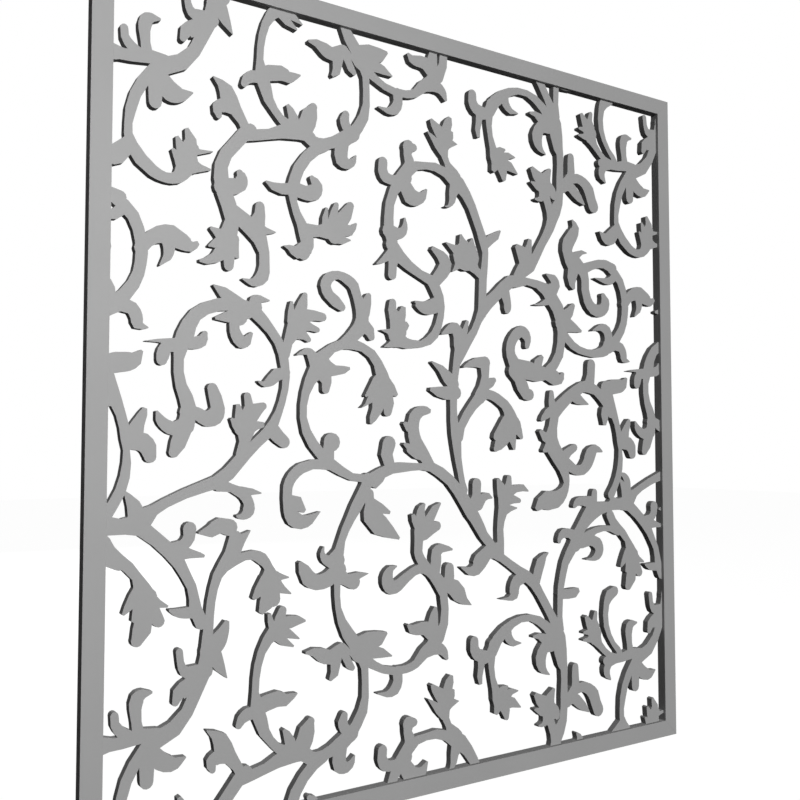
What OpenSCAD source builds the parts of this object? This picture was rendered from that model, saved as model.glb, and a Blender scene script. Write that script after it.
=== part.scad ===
// Hanging room divider panel: a vine-scroll fretwork sheet pinned into the
// rebate of a mitred flat frame, hung by two threaded inserts in the top rail.
//
// Axes: X runs along the width, Y from the front face to the back, Z upwards.
// Origin: middle of the top edge of the frame, half way through its depth.
// Every length is in millimetres.

/* [Frame] */
// Outer width of the frame, 48 in
panel_w = 1219.2; // [900:1:1500]
// Outer height of the frame, 52 3/8 in
panel_h = 1330.6; // [1000:1:1700]
// Face width of each frame member, 1 1/4 in
face_w = 31.75; // [26:0.25:45]
// Depth of the frame from front to back, 3/4 in
frame_d = 19.05; // [16:0.05:26]

/* [Fretwork sheet] */
// How far the sheet sits behind the front of the frame, 1/4 in
setback = 6.35; // [4:0.05:8]
// Width of the hidden rim of the sheet inside the rebate, 1/2 in
rim_w = 12.7; // [9:0.1:14]
// Gap round the rim, so that the sheet can move with the weather
rim_gap = 0.5; // [0.2:0.1:1]
// Radius of the cutter: slots narrower than twice this stay uncut
cutter_r = 1.0; // [0.6:0.1:1.6]

/* [Joinery] */
// Thickness of the loose corner keys
key_t = 4; // [3:0.5:6]
// Width of each arm of a corner key
key_w = 10; // [7:0.5:12]
// Length of each arm, from the corner of the frame
key_arm = 46; // [35:1:70]
// Diameter of the pins that hold the rim
pin_d = 1.8; // [1.4:0.1:2.2]
// Length of the pins, which stop inside the front lip
pin_len = 16.7; // [14:0.1:18]
// Number of pins along each stile
stile_pins = 6; // [3:1:9]
// Number of pins along each rail
rail_pins = 5; // [3:1:9]

/* [Hanging] */
// Distance between the two threaded inserts
hang_pitch = 812.8; // [500:1:1000]
// Outer diameter of an insert
insert_d = 9; // [8:0.5:11]
// Length of an insert
insert_len = 13; // [10:0.5:15]
// Diameter of the threaded bore, M6
thread_d = 6; // [5:1:8]

/* [Hidden] */
$fn = 48;
half_w = panel_w / 2;
half_d = frame_d / 2;
sheet_t = frame_d - setback;
open_w = panel_w - 2 * face_w;
open_h = panel_h - 2 * face_w;
core_w = face_w - rim_w;
core_mid = core_w / 2;
lip_back = -half_d + setback;
pin_line = core_w + rim_w / 2;
corner_free = face_w + 60;
// Size of the frame that the ornament was drawn in
drawn_w = 1219.2;
drawn_h = 1330.6;
// The openings are cut cell by cell, in this many columns and rows
cells_x = 6;
cells_z = 7;
// Distances after which the ornament repeats
repeat_x = 1009.5;
repeat_z = 995.5;
// Most that a curved edge turns, in degrees, between two of its points
bend = 22;
// Where the ornament's first copy begins and ends
reach_x = [0, 1110];
reach_z = [0, 1140];
// Strokes reach at most this far from their middle lines
widest = 30;
// Narrower ends than this stay pointed
round_from = 4.5;
paint = [0.60, 0.60, 0.60];
steel = [0.70, 0.71, 0.72];
brass = [0.80, 0.66, 0.38];
ply = [0.78, 0.66, 0.47];

// ---- strokes: the ornament is drawn with knots [x, z, half width] ----

function flat(v) = [v[0], v[1]];
function reach(a, b) = norm(flat(b) - flat(a));
function slope(k, i) =
    let (n = len(k) - 1)
    i == 0 ? (k[1] - k[0]) / reach(k[0], k[1])
    : i == n ? (k[n] - k[n - 1]) / reach(k[n - 1], k[n])
    : (k[i + 1] - k[i - 1]) / (reach(k[i - 1], k[i]) + reach(k[i], k[i + 1]));
function curve(a, b, u, v, t) =
    (2 * t * t * t - 3 * t * t + 1) * a + (t * t * t - 2 * t * t + t) * u
    + (3 * t * t - 2 * t * t * t) * b + (t * t * t - t * t) * v;
function heading(a, b, u, v, t) =
    (6 * t * t - 6 * t) * (a - b) + (3 * t * t - 4 * t + 1) * u + (3 * t * t - 2 * t) * v;
function pair(p, h) =
    let (w = max(p[2], 0.3), s = w / norm(flat(h)))
    [[p[0] - h[1] * s, p[1] + h[0] * s], [p[0] + h[1] * s, p[1] - h[0] * s]];
function turn(u, v) = acos(min(1, flat(u) * flat(v) / norm(flat(u)) / norm(flat(v))));
function span_pairs(k, i) =
    let (a = k[i], b = k[i + 1], c = reach(a, b), u = slope(k, i) * c, v = slope(k, i + 1) * c,
         n = max(1, ceil((turn(u, b - a) + turn(b - a, v)) / bend)))
    [for (j = [0:n]) pair(curve(a, b, u, v, j / n), heading(a, b, u, v, j / n))];
function reaches(k, w) =
    let (x = [for (p = k) p[0]], z = [for (p = k) p[1]])
    min(x) - widest < w[2] && max(x) + widest > w[0] && min(z) - widest < w[3] && max(z) + widest > w[1];

module stroke(k) {
    if (reaches(k, $window)) {
        for (i = [0:len(k) - 2]) {
            p = span_pairs(k, i);
            for (j = [0:len(p) - 2])
                polygon([p[j][0], p[j + 1][0], p[j + 1][1], p[j][1]]);
        }
        for (e = [k[0], k[len(k) - 1]])
            if (e[2] >= round_from)
                translate(flat(e))
                    circle(e[2], $fn = 12);
    }
}

module stem(k) {
    stroke(k);
}

module leaf(k) {
    stroke(k);
}

module curl(k) {
    stroke(k);
}

module blossom(fingers) {
    for (k = fingers)
        stroke(k);
}

// ---- sprays of the ornament, from the lower left to the upper right ----

module spray_low_left() {
    stem([[57, 55, 6], [57, 72, 6], [60, 92, 8], [67, 117, 8.5], [78, 138, 9], [95, 158, 11], [116, 171, 13],
          [138, 181, 12.5], [157, 202, 10], [169, 226, 10], [180, 250, 11], [186, 280, 10], [188, 310, 8.5],
          [191, 340, 7], [193, 360, 7], [197, 380, 7], [203, 398, 8], [213, 412, 10], [225, 430, 11], [232, 455, 10]]);
    stem([[112, 178, 8], [85, 178, 11], [60, 173, 9], [34, 172, 9], [15, 172, 8.5]]);
    curl([[84, 180, 9], [81, 198, 7.5], [79, 216, 9], [82, 232, 10.5], [92, 238, 6.5], [104, 238, 1.5]]);
    leaf([[100, 155, 12], [118, 137, 13], [135, 130, 11], [147, 133, 6], [156, 137, 1]]);
    curl([[98, 150, 12], [97, 130, 11], [97, 111, 10]]);
    leaf([[168, 245, 12], [152, 235, 13], [143, 230, 10], [139, 218, 5.5]]);
    curl([[185, 258, 12], [165, 258, 11], [152, 262, 8], [146, 275, 5.5], [144, 291, 5.5]]);
    leaf([[190, 285, 14], [203, 300, 13], [213, 315, 8], [219, 329, 3]]);
    leaf([[192, 288, 16], [201, 275, 12], [209, 260, 8], [220, 243, 0.5]]);
    leaf([[222, 470, 13], [206, 474, 12], [191, 466, 10], [172, 464, 1]]);
    leaf([[232, 440, 12], [242, 452, 8], [257, 464, 0.5]]);
}

module spray_low_blossom() {
    leaf([[247, 92, 8], [238, 108, 8], [226, 124, 11], [215, 138, 15.5], [209, 154, 12], [200, 162, 6.5], [188, 169.5, 0.8]]);
    leaf([[225, 125, 10], [208, 128, 11], [196, 121, 9.5], [198, 110, 5]]);
    stem([[320, 115, 10], [304, 126, 7], [293, 138, 7], [283, 152, 9], [277, 170, 11], [270, 188, 12],
          [267, 215, 6], [268, 235, 6], [271, 255, 6.5], [277, 275, 7], [287, 292, 9], [300, 305, 12]]);
    blossom([[[298, 308, 8], [292, 322, 5], [290, 333, 3]],
             [[306, 310, 10], [309, 325, 9], [313, 336, 7]],
             [[310, 315, 10], [328, 317, 10], [342, 318, 7], [354, 316, 1.5]],
             [[308, 305, 12], [325, 298, 7], [343, 289, 1]],
             [[305, 298, 10], [316, 287, 7], [333, 278, 1.5]]]);
    curl([[268, 185, 10], [255, 184, 10], [244, 177, 8], [240, 169, 5.5]]);
    leaf([[270, 190, 12], [285, 196, 13], [305, 200, 12.5], [320, 196, 9.5], [332, 201, 5], [340, 204, 1]]);
}

module spray_low_middle() {
    stem([[240, 88, 11], [262, 91, 9], [285, 96.5, 8.5], [305, 104, 11], [330, 110, 14], [352, 108, 12],
          [365, 97.5, 11], [385, 98.5, 9], [402, 104, 10], [420, 113, 12], [440, 125, 13]]);
    stem([[420, 108, 11], [437, 122, 11], [450, 139, 10], [461, 158, 9.5], [466, 180, 7], [466, 205, 6.5],
          [465, 228, 7], [458, 248, 9], [447, 268, 12], [432, 288, 11], [421, 308, 8], [414, 330, 5.5],
          [412, 350, 5.5], [412, 375, 6], [413, 392, 10], [412, 408, 14]]);
    leaf([[450, 262, 18], [475, 270, 17], [495, 274, 12], [509, 281, 2]]);
    leaf([[455, 255, 15], [480, 252, 11], [500, 248, 8], [519, 241, 1]]);
    stem([[450, 250, 10], [470, 238, 9], [485, 229, 7], [503, 220, 6.5], [525, 215, 7], [548, 215.5, 7],
          [568, 222, 8], [585, 238, 11], [600, 245, 14]]);
    curl([[530, 213, 10], [531, 198, 9.5], [524, 184, 10], [508, 178.5, 5], [490, 182, 1]]);
    leaf([[420, 262, 12], [400, 253, 12], [384, 258, 11.5], [368, 265, 6.5], [354, 265, 2]]);
    leaf([[410, 255, 12], [409, 238, 9], [407, 225, 7.5], [399, 216, 2.5]]);
    curl([[424, 262, 9], [430, 247, 7], [436, 236, 7], [441, 231, 5]]);
    leaf([[328, 118, 12], [327, 132, 9], [321, 144, 6], [316, 151, 2.5]]);
    leaf([[345, 112, 15], [354, 130, 15], [358, 144, 14], [364, 156, 7]]);
    curl([[436, 125, 10], [426, 136, 9], [423, 147, 9], [426, 156, 6.5]]);
}

module spray_low_arch() {
    stem([[529, 391, 1], [518, 388, 5.5], [511, 378, 10], [510, 366, 12], [518, 355, 12], [533, 359, 10.5],
          [548, 370, 9], [565, 380, 8], [585, 383, 9], [603, 374, 11], [617, 358, 12], [627, 335, 8.5],
          [630, 310, 8], [628, 285, 9], [618, 262, 11], [604, 250, 14]]);
    stem([[590, 385, 9], [579, 398, 9], [573, 412, 8.8], [574, 430, 9], [577, 445, 13], [583, 455, 16]]);
    blossom([[[575, 455, 10], [565, 468, 6], [562, 477, 3.5]],
             [[580, 460, 12], [578, 475, 9.5], [581, 488, 6.5], [587, 495, 2]],
             [[590, 455, 12], [600, 472, 9], [609, 485, 7.5], [621, 495, 1.5]],
             [[585, 445, 14], [600, 452, 12], [613, 455, 8.5]]]);
    leaf([[607, 375, 12], [611, 393, 11], [612, 409, 11], [624, 416, 8], [638, 414, 4.5], [647, 412, 1.5]]);
    curl([[636, 352, 12], [640, 365, 10.5], [640, 380, 9.5]]);
    leaf([[635, 352, 12], [650, 345, 15], [662, 332, 15], [674, 319, 7.5], [689, 311, 0.5]]);
    leaf([[605, 268, 14], [588, 280, 12], [570, 280, 10], [558, 282, 7], [551, 290, 2]]);
    leaf([[604, 270, 13], [604, 288, 11], [607, 303, 8], [610, 315, 3]]);
    leaf([[608, 245, 13], [622, 240, 9.5], [630, 232, 7], [635, 221, 2.5]]);
}

module spray_low_buds() {
    blossom([[[639, 104, 6], [632, 118, 7], [630, 132, 9.5], [633, 146, 13]],
             [[628, 125, 8], [617, 138, 9], [605, 149, 5], [594, 158, 1]],
             [[630, 148, 12], [617, 165, 11], [606, 175, 6.5], [601, 182, 2.5]],
             [[635, 155, 14], [636, 172, 10], [640, 183, 9], [644, 193, 3.5]],
             [[635, 150, 14], [645, 160, 7], [647, 168, 3.5]],
             [[632, 142, 12], [645, 146, 8], [660, 146, 0.5]]]);
    curl([[720, 215, 12], [703, 221, 11], [695, 233, 10], [695, 246, 9]]);
    leaf([[712, 215, 9], [710, 198, 7], [707, 182, 6], [709, 168, 3.5]]);
    stem([[740, 235, 12], [734, 215, 9], [734, 195, 6.5], [737, 175, 6], [743, 155, 8], [748, 138, 12]]);
    stem([[735, 222, 12], [748, 243, 12], [765, 257, 11], [785, 269, 8], [805, 275, 6.5], [828, 275, 6.5],
          [848, 268, 8.5], [866, 256, 9.5], [884, 240, 12]]);
    leaf([[770, 258, 11], [775, 243, 9], [788, 232, 6], [805, 231, 1]]);
    blossom([[[755, 132, 17], [762, 132, 17]],
             [[752, 130, 13], [747, 118, 8], [743, 110, 4]],
             [[762, 125, 12], [768, 110, 9], [769, 101, 5.5]],
             [[765, 128, 13], [785, 125, 9], [803, 114, 1]],
             [[765, 138, 12], [782, 146, 6], [797, 145, 1]],
             [[755, 145, 12], [763, 153, 7], [773, 156, 1.5]]]);
}

module spray_low_right() {
    stem([[742, 402, 12], [760, 390, 8], [780, 377, 8], [800, 364, 9], [820, 352, 11], [838, 338, 11],
          [852, 318, 9], [866, 297, 9], [880, 275, 9], [892, 255, 11], [900, 230, 16], [903, 205, 16],
          [908, 180, 12], [912, 170, 9], [912, 150, 8], [911, 120, 9], [911, 100, 9], [908, 76, 10],
          [898, 57, 14]]);
    leaf([[810, 352, 12], [795, 345, 12], [789, 332, 11.5], [788, 320, 10], [775, 314.5, 3.5], [757, 315, 0.5]]);
    leaf([[842, 340, 10], [848, 360, 11], [855, 377, 11], [865, 388, 5], [874, 393, 1]]);
    leaf([[880, 228, 18], [862, 232, 10], [848, 239, 5.5], [834, 239, 2]]);
    curl([[880, 222, 16], [862, 215, 12], [853, 198, 13], [856, 180, 10], [866, 169, 4.5], [875, 164, 0.8]]);
    curl([[920, 108, 12], [940, 130, 10], [941, 155, 9], [941, 170, 8]]);
    leaf([[915, 110, 12], [936, 112, 11], [951, 101, 10.5], [963, 91, 8.5], [977, 80, 1.5]]);
    curl([[935, 126, 10], [958, 130, 9.5], [976, 124, 11], [990, 110, 13.5], [996, 93, 12.5], [1002, 80, 13]]);
    blossom([[[865, 110, 16], [848, 122, 10], [838, 133, 4]],
             [[872, 108, 15], [876, 122, 11], [884, 134, 4.5]],
             [[868, 100, 14], [852, 99, 8], [836, 105, 1.5]],
             [[870, 90, 14], [860, 75, 6], [846, 73, 1.5]],
             [[868, 96, 14], [878, 72, 9], [885, 55, 10], [888, 40, 11]]]);
}

module spray_right_tree() {
    stem([[900, 245, 12], [902, 270, 6.5], [903, 300, 7], [905, 325, 8], [911, 350, 8.5], [917, 370, 9],
          [928, 387, 11], [940, 403, 12], [948, 420, 13], [960, 437, 12], [975, 453, 15], [990, 468, 19],
          [1012, 472, 13], [1035, 475, 9.5], [1060, 478, 9]]);
    leaf([[905, 312, 9], [925, 311, 9.5], [942, 312, 9.5], [953, 317, 4]]);
    curl([[945, 420, 12], [928, 427, 9], [912, 427, 9], [903, 418, 5.5], [902, 413, 4.5]]);
    curl([[985, 485, 12], [965, 488, 9], [950, 486, 8], [943, 479, 4.5]]);
    curl([[992, 480, 12], [996, 495, 8], [997, 504, 7]]);
    stem([[945, 402, 12], [960, 412, 11], [980, 421, 9], [1000, 429, 6.5], [1020, 432, 5.5], [1040, 431, 6],
          [1062, 424, 8]]);
    curl([[962, 408, 12], [985, 410, 10], [1003, 404, 12], [1009, 390, 11], [1002, 379, 9], [988, 373.5, 3.5],
          [973, 374, 1]]);
    blossom([[[995, 222, 16], [998, 228, 14]],
             [[990, 235, 14], [979, 250, 9], [970, 264, 3.5]],
             [[995, 240, 12], [994, 255, 6.5], [997, 268, 4.5]],
             [[990, 230, 13], [975, 233, 5], [963, 233, 2]],
             [[990, 222, 12], [975, 218, 5], [962, 219, 1.5]]]);
    stem([[995, 222, 16], [1007, 205, 8], [1020, 192, 6.5], [1035, 181, 6.5], [1055, 173, 9]]);
    curl([[1050, 172, 9], [1034, 167, 9], [1026, 155, 9], [1028, 143, 7], [1037, 133, 1]]);
}

module spray_mid_left() {
    stem([[22, 712, 14], [32, 692, 11], [44, 660, 9.5], [52, 640, 7.5], [57, 622, 7.5], [60, 605, 8],
          [61, 588, 5], [61.5, 570, 6.5], [59, 550, 7.5], [53, 530, 8], [44, 513, 8], [34, 498, 9]]);
    leaf([[22, 710, 14], [45, 715, 15], [62, 717, 14], [74, 722, 10], [82, 734, 2]]);
    leaf([[72, 612, 14], [78, 628, 9.5], [85, 642, 6.5], [88, 650, 3]]);
    curl([[70, 603, 14], [85, 600, 14], [94, 590, 12.5], [96, 579, 9.5]]);
    stem([[40, 480, 13], [60, 478, 11], [82, 484, 19], [103, 501, 8.5], [121, 511, 7.5], [150, 523.5, 7.8],
          [180, 533.5, 9], [201, 540, 10.5], [220, 553, 11], [234, 568, 10.5], [248, 583, 10],
          [266, 599, 8.5], [283, 614, 9], [296, 631, 8.5], [304, 648, 6.5], [310, 665, 6], [315, 685, 6],
          [317, 705, 6.5], [314, 725, 8], [311, 742, 8.5], [303, 760, 8], [290, 777, 8], [277, 791, 9.5],
          [262, 805, 11], [245, 811, 11], [222, 814, 10], [200, 811, 10], [180, 804, 10], [164, 793, 10.5],
          [154, 778, 12], [148, 762, 14], [141, 745, 12], [138, 725, 8], [138, 705, 8], [142, 685, 9],
          [150, 667, 11], [155, 650, 12], [152, 632, 13], [144, 612, 12.5], [138, 597, 12], [132, 585, 8]]);
    leaf([[78, 492, 14], [72, 510, 10], [64, 522, 5], [59, 529, 1.5]]);
    curl([[205, 535, 10], [225, 530, 6.5], [243, 522, 9], [253, 508, 8.5], [253, 494, 10], [243, 486, 5.5], [233, 487, 1.5]]);
    leaf([[243, 524, 8], [260, 523.5, 5], [275, 521, 1]]);
    stem([[62, 480, 12], [85, 475, 12], [108, 457, 10.5], [128, 439, 11], [143, 420, 9.5], [153, 402, 8],
          [162, 385, 7.5], [166, 368, 8], [168, 352, 10], [178, 330, 10]]);
    curl([[130, 440, 12], [148, 447, 9], [157, 458, 9.5], [158, 471, 10.5]]);
    leaf([[142, 437, 12], [160, 434, 7], [175, 431, 4], [182, 429, 2]]);
    stem([[30, 458, 10], [38, 444, 10], [52, 432, 8.5], [66, 420, 8.5], [78, 406, 7.5], [86, 390, 12],
          [90, 372, 20]]);
    blossom([[[84, 388, 10], [75, 375, 9], [66, 362, 6], [59, 353, 2]],
             [[90, 375, 14], [82, 355, 10], [74, 341, 3]],
             [[95, 372, 14], [112, 364, 6], [126, 359, 1.5]],
             [[92, 365, 16], [104, 350, 12], [112, 339, 9]],
             [[90, 368, 18], [90, 345, 13], [87, 328, 14], [80, 314, 9]]]);
}

module spray_mid_low() {
    stem([[213, 412, 10], [232, 421, 9], [248, 425, 6.5], [262, 426, 7.5], [277, 419, 9.5], [288, 405, 7.5],
          [291, 388, 17], [292, 372, 17]]);
    blossom([[[285, 385, 12], [272, 368, 9], [262, 358, 2.5]],
             [[292, 365, 15], [284, 348, 12], [275, 335, 4]],
             [[294, 365, 14], [297, 355, 12]],
             [[300, 390, 9], [312, 388.5, 4.5], [324, 387, 1]],
             [[300, 377, 12], [314, 368, 6], [328, 361, 1]]]);
    stem([[520, 558, 9], [495, 549, 9], [470, 540, 7], [440, 543.5, 6.5], [420, 553, 8], [400, 565, 10],
          [385, 565, 8.5], [365, 565, 8], [345, 559, 9], [329, 546, 9], [321, 530, 8.5], [320, 512, 8],
          [323, 495, 10], [331, 480, 13], [346, 473, 11.5], [362, 477, 8], [380, 488.5, 0.5]]);
    leaf([[326, 507, 10], [338, 503, 12], [347, 494, 6], [352, 490, 3]]);
    stem([[470, 540, 10], [467, 528, 10], [458, 510, 11], [447, 492, 10.5], [437, 475, 8.5], [427, 457, 7.5],
          [420, 440, 7], [416, 424, 9], [408, 408, 15]]);
    leaf([[474, 515, 8], [474, 497, 9], [478, 478, 17], [495, 461, 18], [515, 449, 11], [534, 437, 2]]);
    leaf([[478, 496, 12], [497, 489, 8.5], [515, 481.5, 2.5]]);
    leaf([[405, 405, 12], [390, 411, 8], [384, 421, 4.5], [387, 432, 1]]);
    leaf([[415, 392, 14], [395, 379, 13], [374, 375, 12.5], [358, 384, 13], [350, 398, 10], [343, 410, 2.5]]);
    leaf([[412, 385, 14], [428, 376, 10], [443, 370.5, 12.5]]);
    leaf([[440, 376, 9], [455, 381, 5.5], [472, 382.5, 0.5]]);
    stem([[470, 542, 7], [484, 535, 12], [500, 549, 9], [519, 557, 9.5], [542, 558.5, 8.5], [560, 559, 7],
          [580, 559, 6], [600, 559, 9], [622, 548, 10], [642, 534, 10], [660, 515, 11], [676, 495, 12.5],
          [690, 475, 13], [698, 465, 12], [709, 448, 11], [718, 433, 9.5], [735, 415, 9]]);
    curl([[515, 560, 10], [508, 580, 12], [513, 599, 13]]);
    curl([[395, 568, 10], [395, 588, 10.5], [401, 601, 15.5]]);
    stem([[400, 566, 9], [382, 580, 9], [366, 598, 9], [354, 618, 8], [348, 640, 6.5], [348, 660, 6.5],
          [352, 680, 7.5], [360, 700, 10], [372, 717, 14], [380, 732, 18], [388, 745, 10], [402, 756, 8],
          [420, 763, 8.5], [437, 775, 11], [452, 790, 13], [459, 808, 12.5], [457, 828, 12], [449, 845, 8.5],
          [443, 862, 9.5], [430, 872, 9], [412, 878, 7], [395, 872, 9], [388, 858, 10], [395, 843, 9.5],
          [408, 833, 10], [419, 825, 7]]);
}

module spray_mid_centre() {
    blossom([[[600, 560, 9], [583, 582, 12], [568, 602, 13], [563, 625, 11.5], [566, 645, 12], [578, 655, 9.5], [592, 657, 7], [600, 656, 3]],
             [[562, 625, 10], [552, 628, 8], [543, 635, 2.5]],
             [[572, 592, 12], [555, 592, 7], [543, 599, 2]],
             [[585, 578, 9], [570, 580, 8], [555, 588, 6]]]);
    stem([[672, 516, 9], [669, 530, 6.5], [665, 548, 6.5], [660, 572, 7.5], [657, 600, 10], [655, 618, 11],
          [651, 640, 8.5], [650, 660, 7.5], [650, 685, 8], [651, 705, 8], [654, 722, 7], [657, 742, 8],
          [664, 762, 13], [682, 784, 9.5], [697, 803, 7.5], [707, 823, 7.5], [717, 842, 11], [730, 858, 12],
          [748, 873, 11], [766, 889, 12], [784, 903, 12], [800, 905, 12], [825, 907, 7], [850, 904, 8],
          [872, 896, 13], [888, 880, 15], [903, 862, 15], [912, 838, 14], [912, 815, 10], [911, 795, 10],
          [906, 772, 10.5], [893, 752, 10], [875, 735, 12]]);
    curl([[690, 478, 13], [701, 505, 9.5], [702, 527, 10]]);
    leaf([[705, 490, 12], [718, 502, 8], [730, 504, 5.5], [738, 500, 1]]);
    leaf([[748, 405, 14], [727, 402, 13], [710, 388, 16], [700, 374, 12], [685, 371, 7.5], [666, 379, 1]]);
    stem([[753, 400, 12], [757, 420, 8], [756, 442, 7.5], [758, 458, 8.5], [764, 480, 12], [768, 502, 17]]);
    blossom([[[762, 505, 12], [757, 522, 9], [751, 535, 3]],
             [[772, 510, 12], [777, 525, 7.5], [778, 536, 5.5]],
             [[775, 510, 12], [795, 516, 7], [812, 517, 6.5], [825, 510.5, 1]],
             [[778, 498, 12], [790, 496, 7.5], [802, 493.5, 4.5]],
             [[765, 478, 12], [782, 480, 5.5], [797, 480, 1]]]);
    leaf([[664, 775, 13], [662, 793, 12], [654, 806, 11], [641, 803, 8], [624, 794, 1.5]]);
    leaf([[668, 790, 10], [677, 805, 6], [682, 822, 3]]);
    leaf([[650, 705, 12], [637, 717, 11.5], [622, 732, 7], [603, 743, 1.5]]);
    leaf([[655, 690, 12], [635, 689, 12], [616, 691, 9], [599, 695, 3]]);
    stem([[662, 610, 9], [667, 630, 8.5], [680, 651, 9], [694, 668, 9.5], [710, 684, 12], [728, 690, 9],
          [750, 683, 9.5], [768, 672, 10], [780, 655, 13], [784, 635, 21]]);
    stem([[710, 684, 13], [720, 702, 12], [722.5, 722, 8.5], [722, 745, 11]]);
    leaf([[722, 747, 12], [703, 747, 9], [686, 743, 5.5], [673, 737, 1.5]]);
    curl([[722, 707, 12], [738, 712, 8], [743, 716, 5]]);
    blossom([[[775, 640, 14], [760, 622, 12], [748, 612, 8], [743, 608, 3]],
             [[775, 625, 18], [762, 606, 14], [752, 595, 10], [747, 590, 5.5]],
             [[778, 622, 18], [788, 605, 8], [791, 588, 2.5]],
             [[790, 632, 18], [803, 622, 8.5], [808, 612, 4.5]]]);
}

module spray_mid_right() {
    stem([[795, 745, 14], [784, 765, 11], [784, 784, 10.5], [794, 801, 10.5], [810, 811, 11], [822, 804, 10.5],
          [826, 792, 7], [824, 784, 5.5]]);
    stem([[792, 735, 14], [803, 722, 12], [812, 707, 14], [822, 692, 11.5], [829, 692, 11]]);
    stem([[797, 745, 14], [825, 738, 18], [850, 733, 16], [872, 733, 12], [893, 727, 15], [908, 725, 10],
          [914, 734, 4.5]]);
    leaf([[850, 740, 12], [852, 755, 10], [863, 767, 3.5]]);
    leaf([[912, 835, 16], [932, 831, 14], [950, 826, 8], [966, 821, 2]]);
    stem([[912, 820, 10], [926, 805, 9], [942, 792, 8.5], [960, 784, 7.5], [980, 780, 7], [1000, 779, 8],
          [1022, 783, 10], [1038, 794, 12.5], [1041, 812, 11], [1036, 827, 11], [1022, 833, 8],
          [1008, 829.5, 4], [996, 825, 1]]);
    leaf([[920, 845, 14], [935, 858, 10], [943, 870, 5.5]]);
    leaf([[885, 880, 12], [872, 871, 6], [856, 866, 2.5], [843, 864, 0.8]]);
    curl([[885, 893, 14], [897, 907, 12], [890, 920, 8.5], [874, 926, 1.5]]);
    stem([[1045, 660, 9], [1040, 675, 12], [1020, 694, 11], [1003, 706, 10], [985, 712, 12], [965, 711, 11],
          [945, 700, 12], [925, 687, 12], [905, 671, 13], [893, 655, 11], [888, 632, 11], [883, 612, 16],
          [890, 590, 17], [905, 570, 16], [915, 552, 12], [921, 535, 9], [922, 521, 7.5], [913, 505, 12],
          [895, 493, 17], [872, 491.5, 19], [855, 486, 12], [844, 475, 4]]);
    curl([[985, 715, 14], [990, 735, 10.5], [991.5, 757, 10.5]]);
    leaf([[945, 695, 14], [955, 687, 11], [968, 682, 6.5], [983, 677.5, 1]]);
    leaf([[1042, 675, 10], [1029, 665, 11], [1028, 650, 8.5], [1027, 637, 4]]);
    leaf([[880, 612, 14], [866, 613, 9], [855, 625, 3.5]]);
    curl([[890, 665, 12], [885, 682, 8], [885, 697, 5.5]]);
    leaf([[892, 665, 12], [874, 657, 9], [863, 648, 5.5], [858, 643, 2]]);
    curl([[885, 600, 12], [873, 591, 9], [866, 587, 4.5]]);
    curl([[915, 573, 12], [930, 585, 9], [944, 592, 7.5]]);
    leaf([[925, 560, 12], [945, 549, 9.5], [965, 549, 11], [980, 563, 13], [988, 580, 14], [1002, 590, 8.5], [1020, 584, 1.5]]);
}

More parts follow.
